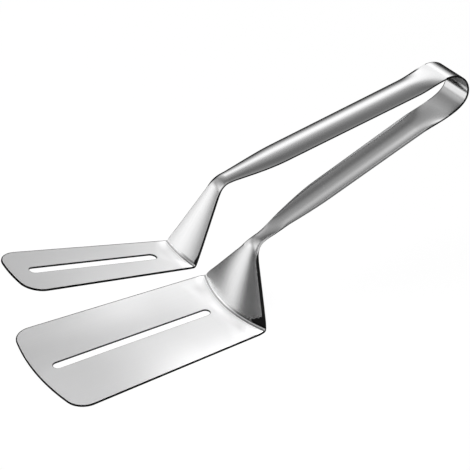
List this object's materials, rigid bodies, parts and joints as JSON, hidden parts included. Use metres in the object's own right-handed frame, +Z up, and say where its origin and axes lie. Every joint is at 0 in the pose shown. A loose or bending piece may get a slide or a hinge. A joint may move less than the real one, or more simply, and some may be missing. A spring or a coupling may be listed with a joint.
{
  "type": "spatula tongs",
  "caption": "Sprung strip-steel kitchen tongs with a wide slotted spatula blade below and a narrower slotted blade above, joined by half-round necks, channelled arms and a flat U bow.",
  "frame": {"origin": "on the table under the middle of the whole object, lower blade flat on Z = 0", "axes": "+X towards the spring bow, +Z up, the object is symmetric across Y = 0"},
  "size_m": [0.2914, 0.0808, 0.1138],
  "materials": {
    "blade_satin": "satin stainless steel, lightly brushed",
    "neck_polish": "stainless steel, semi-bright",
    "handle_polish": "stainless steel, soft polish"
  },
  "bodies": {
    "lower_half": {"lower_blade": "blade_satin", "lower_neck": "neck_polish", "lower_arm": "handle_polish", "spring_bow": "handle_polish"},
    "upper_half": {"upper_arm": "handle_polish", "upper_neck": "neck_polish", "upper_blade": "blade_satin"}
  },
  "joints": [
    {"name": "squeeze", "type": "hinge", "parent": "lower_half", "child": "upper_half", "pos_m": [0.1394, 0, 0.102], "axis": [0, -1, 0], "range_deg": [-5, 14.05], "stiffness_Nm_per_rad": 7.9, "springref_deg": -0.66, "deforming": ["spring_bow"]}
  ]
}
